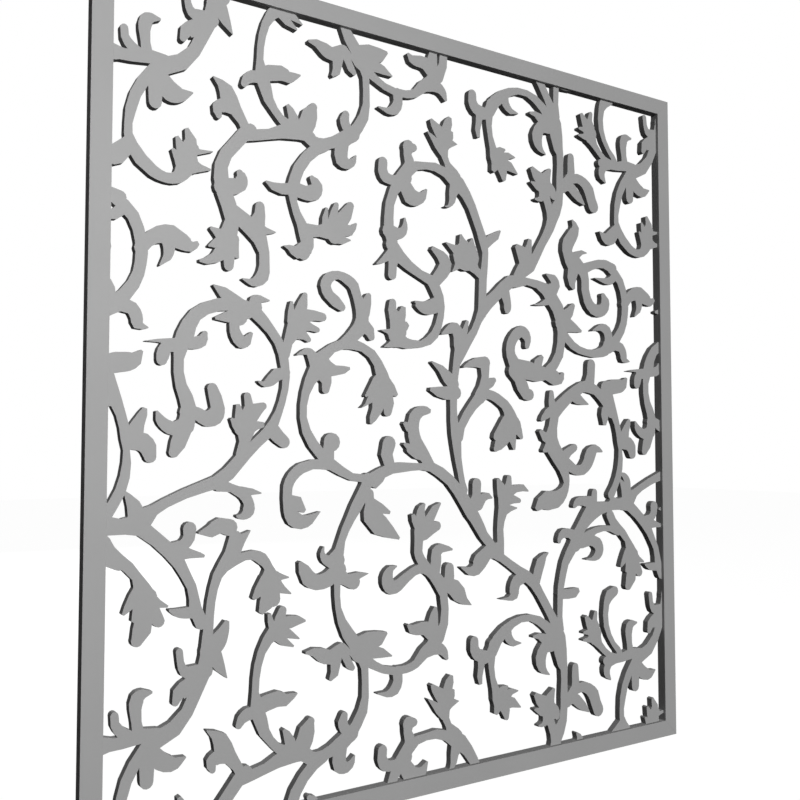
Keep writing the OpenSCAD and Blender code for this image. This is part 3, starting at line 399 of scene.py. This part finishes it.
@dataclass(frozen=True)
class TurnedMetal:
    """Metal with turning marks, fine scratches and patches of handling."""

    name: str
    colour: Colour
    dulled: Colour
    roughness: float
    dulling: float = 0.14
    patches_per_m: float = 380.0
    marks_per_m: float = 2600.0
    marks_squeeze: Offset = (0.15, 0.15, 1.0)
    marks_depth: float = 0.012 * MM

    def material(self) -> bpy.types.Material:
        """Builds the metal's material.

        Returns:
            The material.
        """
        made, nodes = new_material(self.name)
        place = nodes.add("ShaderNodeTexCoord").outputs["Object"]
        shader = nodes.put(nodes.add("ShaderNodeBsdfPrincipled"), Metallic=1.0)
        patches = nodes.noise(place, self.patches_per_m, 4.0)
        tone = nodes.ramp(patches, self.dulled, self.colour, 0.25, 0.55)
        nodes.link(tone, shader.inputs["Base Color"])
        sheen = nodes.span(patches, self.roughness + self.dulling, self.roughness)
        nodes.link(sheen, shader.inputs["Roughness"])
        marks = nodes.noise(nodes.squeezed(place, self.marks_squeeze), self.marks_per_m, 3.0)
        nodes.link(nodes.bump(marks, self.marks_depth), shader.inputs["Normal"])
        nodes.cover(shader.outputs["BSDF"])
        return made


# ---------------------------------------------------------------- mesh helpers


def deselect() -> None:
    """Goes to object mode and deselects everything, so that operators act on new work only."""
    if bpy.context.object is not None and bpy.context.object.mode != "OBJECT":
        bpy.ops.object.mode_set(mode="OBJECT")
    bpy.ops.object.select_all(action="DESELECT")


def make_active(piece: bpy.types.Object) -> None:
    """Selects one object alone and makes it the active one."""
    deselect()
    piece.select_set(True)
    bpy.context.view_layer.objects.active = piece


def apply_modifiers(piece: bpy.types.Object) -> None:
    """Applies all modifiers of a piece, from the first to the last."""
    make_active(piece)
    for modifier in list(piece.modifiers):
        bpy.ops.object.modifier_apply(modifier=modifier.name)


def close_mesh(reach: float) -> None:
    """Welds the edited mesh, turns its faces outwards and goes back to object mode.

    Args:
        reach: How far apart two points may lie to become one.
    """
    bpy.ops.mesh.select_all(action="SELECT")
    bpy.ops.mesh.remove_doubles(threshold=reach)
    bpy.ops.mesh.normals_make_consistent(inside=False)
    bpy.ops.object.mode_set(mode="OBJECT")


def paint_node(node: bpy.types.Object, finish: bpy.types.Material) -> None:
    """Gives a CAD node one finish in all its material slots.

    Args:
        node: The node's object.
        finish: The material.
    """
    if not node.material_slots:
        node.data.materials.append(finish)
    for slot in node.material_slots:
        slot.material = finish


@dataclass(frozen=True)
class EasedEdge:
    """The slightly rounded edge that sanding and a coat of paint leave."""

    width: float = 0.35 * MM
    segments: int = 2
    limit_deg: float = 35.0

    def ease(self, node: bpy.types.Object) -> None:
        """Adds the easing as modifiers, which leave the node's own mesh as it is.

        Args:
            node: The CAD node's object.
        """
        weld = node.modifiers.new("weld", "WELD")
        weld.merge_threshold = SAME_POINT
        bevel = node.modifiers.new("eased_edge", "BEVEL")
        bevel.width = self.width
        bevel.segments = self.segments
        bevel.limit_method = "ANGLE"
        bevel.angle_limit = math.radians(self.limit_deg)
        bevel.use_clamp_overlap = False
        bevel.harden_normals = False


@dataclass(frozen=True)
class FlowingWalls:
    """Shading that flows along the sheet's curved walls and stays crisp at every cut edge."""

    crease_deg: float = 28.0

    def flow(self, node: bpy.types.Object) -> None:
        """Adds the shading as a modifier, which leaves the node's own mesh as it is.

        Args:
            node: The CAD node's object.
        """
        group = bpy.data.node_groups.new("flowing_walls", "GeometryNodeTree")
        for way in ("INPUT", "OUTPUT"):
            group.interface.new_socket("Geometry", in_out=way, socket_type="NodeSocketGeometry")
        nodes = NodeSheet(group)
        merged = nodes.put(nodes.add("GeometryNodeMergeByDistance"), Distance=SAME_POINT)
        nodes.link(nodes.add("NodeGroupInput").outputs["Geometry"], merged.inputs["Geometry"])
        smooth = nodes.put(nodes.add("GeometryNodeSetShadeSmooth", domain="FACE"),
                           Shade_Smooth=True)
        nodes.link(merged.outputs["Geometry"], smooth.inputs["Geometry"])
        compare = nodes.add("FunctionNodeCompare", data_type="FLOAT", operation="GREATER_THAN")
        crease = nodes.put(compare, B=math.radians(self.crease_deg))
        angle = nodes.add("GeometryNodeInputMeshEdgeAngle").outputs["Unsigned Angle"]
        nodes.link(angle, crease.inputs["A"])
        sharp = nodes.put(nodes.add("GeometryNodeSetShadeSmooth", domain="EDGE"),
                          Shade_Smooth=False)
        nodes.link(smooth.outputs["Geometry"], sharp.inputs["Geometry"])
        nodes.link(crease.outputs["Result"], sharp.inputs["Selection"])
        nodes.link(sharp.outputs["Geometry"], nodes.add("NodeGroupOutput").inputs["Geometry"])
        node.modifiers.new("flowing_walls", "NODES").node_group = group


# ---------------------------------------------------------------- sub-assemblies


@dataclass
class MitredFrame:
    """The four painted members of the frame."""

    nodes: dict[str, bpy.types.Object]
    paint: bpy.types.Material
    edge: EasedEdge = field(default_factory=EasedEdge)
    members: tuple[str, ...] = ("left_stile", "right_stile", "top_rail", "bottom_rail")

    def build(self) -> None:
        """Paints each member and eases its edges."""
        for name in self.members:
            paint_node(self.nodes[name], self.paint)
            self.edge.ease(self.nodes[name])
            LOG.info("dressed %s", name)


@dataclass
class FretworkSheet:
    """The cut-through sheet with the vine scroll."""

    nodes: dict[str, bpy.types.Object]
    paint: bpy.types.Material
    walls: FlowingWalls = field(default_factory=FlowingWalls)
    node: str = "fretwork_sheet"

    def build(self) -> None:
        """Paints the sheet and lets the shading flow along its walls."""
        paint_node(self.nodes[self.node], self.paint)
        self.walls.flow(self.nodes[self.node])
        LOG.info("dressed %s", self.node)


@dataclass(frozen=True)
class Knot:
    """One point of a leaf's middle line, in millimetres from the frame's lower left corner."""

    across: float
    up: float
    half_width: float

    def shifted(self, across: float, up: float) -> Knot:
        """Gives the same knot in a repeat of the scroll."""
        return Knot(self.across + across, self.up + up, self.half_width)


@dataclass(frozen=True)
class LeafTip:
    """A leaf or curl that grows out of the sheet, nearly as thick as the sheet and rooted in it."""

    name: str
    spine: tuple[Knot, ...]
    points: int = 36
    # Half width that the line never falls below, in millimetres
    thinnest: float = 0.2
    # Share of the line by which its direction is felt out, ahead and behind
    feel: float = 0.01
    # How far the leaf's faces lie behind the sheet's own, so that they don't flicker
    inset: float = 0.05 * MM
    # Size of the disc that the outline is pulled from
    disc_radius: float = 10 * MM
    weld: float = 0.01 * MM

    def _along(self, share: float) -> tuple[Vector, float]:
        """Finds a point of the middle line, a curve that passes through every knot.

        Args:
            share: How far along the line, from 0 at the root to 1 at the tip.

        Returns:
            The point, across and up, and the half width there, in millimetres.
        """
        last = len(self.spine) - 1
        step = min(int(share * last), last - 1)
        part = share * last - step
        around = [self.spine[min(max(step + i, 0), last)] for i in (-1, 0, 1, 2)]
        before, start, end, after = (Vector((k.across, k.up, k.half_width)) for k in around)
        bend = (2 * before - 5 * start + 4 * end - after) * part ** 2
        twist = (3 * (start - end) + after - before) * part ** 3
        here = 0.5 * (2 * start + (end - before) * part + bend + twist)
        return Vector((here.x, here.y)), max(here.z, self.thinnest)

    def _edge(self, index: int) -> Vector:
        """Finds a point of the outline: up one side from the root, and down the other.

        Args:
            index: Which of the outline's points.

        Returns:
            The point, across and up, in millimetres.
        """
        turn = 2 * index / self.points
        share = min(turn, 2 - turn)
        middle, half_width = self._along(share)
        further, _ = self._along(min(share + self.feel, 1.0))
        nearer, _ = self._along(max(share - self.feel, 0.0))
        ahead = further - nearer
        side = Vector((-ahead.y, ahead.x)).normalized() * (1 if turn < 1 else -1)
        return middle + side * half_width

    def build(self, corner: Vector, front: float, back: float) -> bpy.types.Object:
        """Pulls a disc into the outline and gives it the sheet's thickness.

        Args:
            corner: The frame's lower left corner.
            front: Where the sheet's front face lies.
            back: Where its back face lies.

        Returns:
            The finished piece.
        """
        deselect()
        bpy.ops.mesh.primitive_circle_add(vertices=self.points, radius=self.disc_radius,
                                          fill_type="NGON")
        piece = bpy.context.object
        piece.name = self.name
        for index, vertex in enumerate(piece.data.vertices):
            across, up = self._edge(index)
            vertex.co = Vector((corner.x + across * MM, front + self.inset,
                                corner.z + up * MM))
        bpy.ops.object.mode_set(mode="EDIT")
        bpy.ops.mesh.select_all(action="SELECT")
        depth = back - front - 2 * self.inset
        bpy.ops.mesh.extrude_region_move(TRANSFORM_OT_translate={"value": (0, depth, 0)})
        close_mesh(self.weld)
        bpy.ops.object.shade_smooth_by_angle(angle=SMOOTH_UNDER)
        return piece


@dataclass
class LateLeaves:
    """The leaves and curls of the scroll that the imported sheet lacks."""

    paint: bpy.types.Material
    corner: Vector
    node: str = "fretwork_sheet"
    # Where the scroll comes again, in millimetres: to the right, and above with a slight lean
    right: float = 1011.0
    above: float = 995.5
    lean: float = 1.5

    def tips(self) -> tuple[LeafTip, ...]:
        """Lists the leaves with the knots of their middle lines.

        Returns:
            The leaves.
        """
        foot = (Knot(176, 347, 9), Knot(158, 347, 8.5), Knot(143, 348, 7), Knot(131, 352, 3),
                Knot(127, 354, 1))
        right_foot = tuple(knot.shifted(self.right, 0) for knot in foot)
        lobe = (Knot(872, 106, 12), Knot(888, 95, 10), Knot(892, 82, 7), Knot(892, 78, 2))
        lobe_above = tuple(knot.shifted(self.lean, self.above) for knot in lobe)
        return (
            LeafTip("leaf_arch_foot", foot),
            LeafTip("leaf_arch_foot_right", right_foot),
            LeafTip("leaf_trunk_side", (Knot(190, 284, 14), Knot(205, 300, 14),
                                        Knot(215, 314, 8), Knot(221, 329, 2))),
            LeafTip("leaf_under_branch", (Knot(768, 888, 12), Knot(776, 862, 9),
                                          Knot(776, 850, 8), Knot(774, 842, 3))),
            LeafTip("leaf_blossom_lobe", lobe),
            LeafTip("leaf_blossom_lobe_above", lobe_above),
            LeafTip("leaf_right_fork", (Knot(1088, 490, 14), Knot(1090, 510, 9.5),
                                        Knot(1089, 525, 8.5), Knot(1080, 536, 6),
                                        Knot(1068, 539, 1.5))),
            LeafTip("leaf_upper_left", (Knot(106, 1142, 13), Knot(120, 1124, 13),
                                        Knot(138, 1124, 9), Knot(146, 1127, 2))),
            LeafTip("leaf_middle", (Knot(618, 845, 12), Knot(598, 836, 10),
                                    Knot(582, 836, 7.5), Knot(567, 842, 2))),
        )

    def build(self) -> None:
        """Models and paints each leaf."""
        low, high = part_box(self.node)
        for tip in self.tips():
            piece = tip.build(self.corner, low.y, high.y)
            piece.data.materials.append(self.paint)
            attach(piece, BODY)
            LOG.info("modelled %s", piece.name)


@dataclass
class HiddenJoinery:
    """The keys inside the mitres and the pins through the rim."""

    nodes: dict[str, bpy.types.Object]
    plywood: bpy.types.Material
    steel: bpy.types.Material

    def build(self) -> None:
        """Dresses each key and the group of pins."""
        for name, node in self.nodes.items():
            if name.startswith("corner_key"):
                paint_node(node, self.plywood)
                LOG.info("dressed %s", name)
        paint_node(self.nodes["rim_pins"], self.steel)
        LOG.info("dressed rim_pins")


@dataclass
class ThreadedInsert:
    """One brass insert, flush with the top edge: a turned sleeve with a drive slot and a thread."""

    brass: bpy.types.Material
    radius: float = 4.5 * MM
    bore: float = 3.0 * MM
    length: float = 13.0 * MM
    mouth: float = 0.5 * MM
    rim: float = 0.3 * MM
    slot_half: float = 0.6 * MM
    slot_depth: float = 1.4 * MM
    pitch: float = 1.0 * MM
    crest: float = 0.5 * MM
    # How far the thread's ridge sinks into the sleeve
    root: float = 0.05 * MM
    # Half heights of the ridge at its root and at its crest, as shares of the pitch
    root_share: float = 0.44
    crest_share: float = 0.06
    segments: int = 48
    weld: float = 0.001 * MM

    def sleeve(self, name: str, centre: Vector) -> bpy.types.Object:
        """Turns the sleeve from its profile and cuts the drive slot.

        Args:
            name: The piece's name.
            centre: Middle of its top face.

        Returns:
            The piece, at its place.
        """
        deselect()
        bpy.ops.mesh.primitive_circle_add(vertices=self.segments, radius=self.bore + self.mouth,
                                          location=centre, fill_type="NOTHING")
        piece = bpy.context.object
        piece.name = name
        bpy.ops.object.transform_apply(location=True, rotation=True, scale=True)
        bpy.ops.object.mode_set(mode="EDIT")
        bpy.ops.mesh.select_all(action="SELECT")
        steps = (
            (self.radius - self.rim, 0.0),
            (self.radius, -self.rim),
            (self.radius, -self.length + self.rim),
            (self.radius - self.rim, -self.length),
            (self.bore, -self.length),
            (self.bore, -self.mouth),
            (self.bore + self.mouth, 0.0),
        )
        radius, level = self.bore + self.mouth, 0.0
        for next_radius, next_level in steps:
            sink = (0, 0, next_level - level)
            bpy.ops.mesh.extrude_edges_move(TRANSFORM_OT_translate={"value": sink})
            grow = next_radius / radius
            bpy.ops.transform.resize(value=(grow, grow, 1.0), center_override=centre)
            radius, level = next_radius, next_level
        close_mesh(self.weld)
        self._cut_slot(piece, centre)
        return piece

    def _cut_slot(self, piece: bpy.types.Object, centre: Vector) -> None:
        """Sinks the faces of the top ring that lie across the middle.

        Args:
            piece: The sleeve.
            centre: Middle of its top face.
        """
        bpy.ops.object.mode_set(mode="EDIT")
        bpy.ops.mesh.select_all(action="DESELECT")
        mesh = bmesh.from_edit_mesh(piece.data)
        for face in mesh.faces:
            middle = face.calc_center_median() - centre
            on_top = abs(middle.z) < self.mouth and face.normal.z > 0.5
            face.select = on_top and abs(middle.y) < self.slot_half
        bmesh.update_edit_mesh(piece.data)
        sink = (0, 0, -self.slot_depth)
        bpy.ops.mesh.extrude_region_move(TRANSFORM_OT_translate={"value": sink})
        bpy.ops.object.mode_set(mode="OBJECT")

    def thread(self, name: str, centre: Vector) -> bpy.types.Object:
        """Winds the thread's ridge down the bore.

        Args:
            name: The piece's name.
            centre: Middle of the insert's top face.

        Returns:
            The piece, at its place.
        """
        turns = int((self.length - 2 * self.mouth - self.pitch) / self.pitch)
        inner, outer = self.bore - self.crest, self.bore + self.root
        wide, narrow = self.root_share * self.pitch, self.crest_share * self.pitch
        top = -self.mouth - self.pitch / 2
        deselect()
        bpy.ops.mesh.primitive_plane_add(size=1.0, location=(0, 0, 0))
        piece = bpy.context.object
        piece.name = name
        corners = ((outer, top + wide), (inner, top + narrow),
                   (inner, top - narrow), (outer, top - wide))
        # A new plane numbers its corners row by row, and the ridge goes round
        order = (0, 1, 3, 2)
        for vertex, (radius, level) in zip(order, corners):
            piece.data.vertices[vertex].co = Vector((radius, 0.0, level))
        screw = piece.modifiers.new("wind", "SCREW")
        screw.axis = "Z"
        screw.screw_offset = -self.pitch
        screw.iterations = turns
        screw.steps = self.segments
        screw.render_steps = self.segments
        screw.use_merge_vertices = True
        apply_modifiers(piece)
        piece.location = centre
        bpy.ops.object.transform_apply(location=True, rotation=True, scale=True)
        bpy.ops.object.mode_set(mode="EDIT")
        close_mesh(self.weld)
        return piece

    def build(self, side: str, centre: Vector) -> bpy.types.Object:
        """Joins the sleeve and the thread and dresses them.

        Args:
            side: The side's name, which ends the piece's name.
            centre: Middle of the insert's top face.

        Returns:
            The finished piece.
        """
        sleeve = self.sleeve(f"threaded_insert_{side}", centre)
        thread = self.thread(f"thread_{side}", centre)
        deselect()
        thread.select_set(True)
        sleeve.select_set(True)
        bpy.context.view_layer.objects.active = sleeve
        bpy.ops.object.join()
        sleeve.data.materials.clear()
        sleeve.data.materials.append(self.brass)
        make_active(sleeve)
        bpy.ops.object.shade_smooth_by_angle(angle=SMOOTH_UNDER)
        return sleeve


@dataclass
class HangingInserts:
    """The two inserts in the top rail, placed by the CAD node that they stand for."""

    brass: bpy.types.Material
    node: str = "hanging_inserts"

    def build(self) -> None:
        """Models both inserts and puts them in the node's place."""
        low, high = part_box(self.node)
        insert = ThreadedInsert(self.brass)
        reach = (high.x - low.x) / 2 - insert.radius
        middle = (low + high) / 2
        for side, sign in (("left", -1), ("right", 1)):
            piece = insert.build(side, Vector((middle.x + sign * reach, middle.y, high.z)))
            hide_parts(self.node)
            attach(piece, BODY)
            LOG.info("modelled %s", piece.name)


# ---------------------------------------------------------------- studio


@dataclass
class PhotoCamera:
    """The photograph's camera, placed from the panel's lower left front corner."""

    low: Vector
    beyond_left: float = 0.38429
    before_front: float = 1.37117
    above_bottom: float = 0.59167
    tilt_deg: float = 92.841
    turn_deg: float = -33.716
    focal_px: float = 964.86
    picture_px: float = 800.0
    sensor_mm: float = 36.0

    def build(self) -> None:
        """Makes the camera and sets it as the scene's."""
        lens = bpy.data.cameras.new("photo_camera")
        lens.sensor_width = self.sensor_mm
        lens.lens = self.focal_px * self.sensor_mm / self.picture_px
        camera = bpy.data.objects.new("photo_camera", lens)
        away = Vector((-self.beyond_left, -self.before_front, self.above_bottom))
        camera.location = self.low + away
        camera.rotation_euler = (math.radians(self.tilt_deg), 0.0, math.radians(self.turn_deg))
        bpy.context.scene.collection.objects.link(camera)
        bpy.context.scene.camera = camera
        LOG.info("camera at %s", tuple(round(c, 3) for c in camera.location))


@dataclass(frozen=True)
class SoftLamp:
    """A square soft lamp. Its place and the point it faces are measured from the panel's middle."""

    name: str
    place: Offset
    size: float
    watts: float
    aim: Offset = (0.0, 0.0, 0.0)
    spread_deg: float = 180.0

    def build(self, middle: Vector) -> None:
        """Makes the lamp.

        Args:
            middle: The panel's middle.
        """
        data = bpy.data.lights.new(self.name, "AREA")
        data.shape = "SQUARE"
        data.size = self.size
        data.energy = self.watts
        data.spread = math.radians(self.spread_deg)
        lamp = bpy.data.objects.new(self.name, data)
        place = middle + Vector(self.place)
        lamp.location = place
        aim = middle + Vector(self.aim)
        lamp.rotation_euler = (aim - place).to_track_quat("-Z", "Y").to_euler()
        bpy.context.scene.collection.objects.link(lamp)


# A far key lamp and a near fill lamp before the panel, one lamp behind it and one at its right
LAMPS = (
    SoftLamp("key_lamp", place=(-0.9, -14.0, 3.0), size=2.0, watts=1840.0),
    SoftLamp("fill_lamp", place=(-0.7, -1.2, 0.4), size=0.5, watts=1.4,
             aim=(-0.55, 0.0, 0.25), spread_deg=90.0),
    SoftLamp("back_lamp", place=(1.5, 14.0, 1.6), size=1.2, watts=1800.0),
    SoftLamp("side_lamp", place=(9.0, 0.0, 0.0), size=1.2, watts=150.0),
)


@dataclass
class Studio:
    """A plain floor that looks white, a white surround and soft lamps."""

    low: Vector
    high: Vector
    # Height at which the panel hangs above the floor
    drop: float = 1.0
    floor_size: float = 60.0
    # How much light the floor throws back, and how bright it is of itself where it is seen
    floor_tone: float = 0.05
    floor_glow: float = 0.982
    # Light that the surround gives to the panel
    ambient: float = 0.002

    def build(self) -> None:
        """Builds the surround, the floor and the lamps."""
        scene = bpy.context.scene
        scene.view_settings.view_transform = "Standard"
        self._surround()
        self._floor()
        for lamp in LAMPS:
            lamp.build((self.low + self.high) / 2)
        LOG.info("studio ready")

    def _seen(self, nodes: NodeSheet) -> bpy.types.NodeSocket:
        """Adds up the rays that see the background white.

        Args:
            nodes: The tree to write to.

        Returns:
            An output that is 1 for such a ray and 0 for any other.
        """
        path = nodes.add("ShaderNodeLightPath")
        total = path.outputs[Ray.CAMERA.value]
        for ray in (Ray.GLOSSY, Ray.TRANSMISSION):
            most = nodes.add("ShaderNodeMath", operation="MAXIMUM")
            nodes.link(total, most.inputs[0])
            nodes.link(path.outputs[ray.value], most.inputs[1])
            total = most.outputs["Value"]
        return total

    def _surround(self) -> None:
        """Makes the world white where it is seen and dim where it lights."""
        world = bpy.data.worlds.new("surround")
        bpy.context.scene.world = world
        world.use_nodes = True
        nodes = NodeSheet(world.node_tree)
        white = nodes.put(nodes.add("ShaderNodeBackground"), Color=(1.0, 1.0, 1.0, 1.0))
        strength = nodes.span(self._seen(nodes), self.ambient, 1.0, 0.0, 1.0)
        nodes.link(strength, white.inputs["Strength"])
        out = nodes.add("ShaderNodeOutputWorld")
        nodes.link(white.outputs["Background"], out.inputs["Surface"])

    def _floor(self) -> None:
        """Lays the floor below the hanging panel."""
        deselect()
        level = self.low.z - self.drop
        bpy.ops.mesh.primitive_plane_add(size=self.floor_size, location=(0, 0, level))
        floor = bpy.context.object
        floor.name = "studio_floor"
        made, nodes = new_material("pale_floor")
        tone = (self.floor_tone,) * 3 + (1.0,)
        matt = nodes.put(nodes.add("ShaderNodeBsdfDiffuse"), Color=tone)
        glow = nodes.put(nodes.add("ShaderNodeEmission"), Color=(1.0, 1.0, 1.0, 1.0))
        strength = nodes.span(self._seen(nodes), 0.0, self.floor_glow, 0.0, 1.0)
        nodes.link(strength, glow.inputs["Strength"])
        both = nodes.add("ShaderNodeAddShader")
        nodes.link(matt.outputs["BSDF"], both.inputs[0])
        nodes.link(glow.outputs["Emission"], both.inputs[1])
        nodes.cover(both.outputs["Shader"])
        floor.data.materials.append(made)
        floor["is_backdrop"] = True


def write_sizes(seen: tuple[Vector, Vector]) -> None:
    """Logs a line at the end of the build; no box is written.

    Args:
        seen: Lowest and highest corner of the dressed model; not used.
    """
    LOG.info("sizes written")


def main() -> None:
    """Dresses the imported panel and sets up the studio."""
    logging.basicConfig(level=logging.INFO, format="%(name)s: %(message)s")
    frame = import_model()
    cad_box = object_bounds()
    nodes = frame["nodes"]
    PhotoCamera(cad_box[0]).build()
    MitredFrame(nodes, MattPaint("frame_paint", PAINT_TONE).material()).build()
    sheet_paint = MattPaint("sheet_paint", PAINT_TONE).material()
    FretworkSheet(nodes, sheet_paint).build()
    LateLeaves(sheet_paint, cad_box[0]).build()
    steel = TurnedMetal("bright_steel", colour=(0.56, 0.57, 0.58), dulled=(0.30, 0.30, 0.31),
                        roughness=0.28)
    HiddenJoinery(nodes, BarePlywood().material(), steel.material()).build()
    brass = TurnedMetal("turned_brass", colour=(0.78, 0.57, 0.25), dulled=(0.42, 0.29, 0.12),
                        roughness=0.24)
    HangingInserts(brass.material()).build()
    Studio(*cad_box).build()
    write_sizes(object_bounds())


if __name__ == "__main__":
    main()
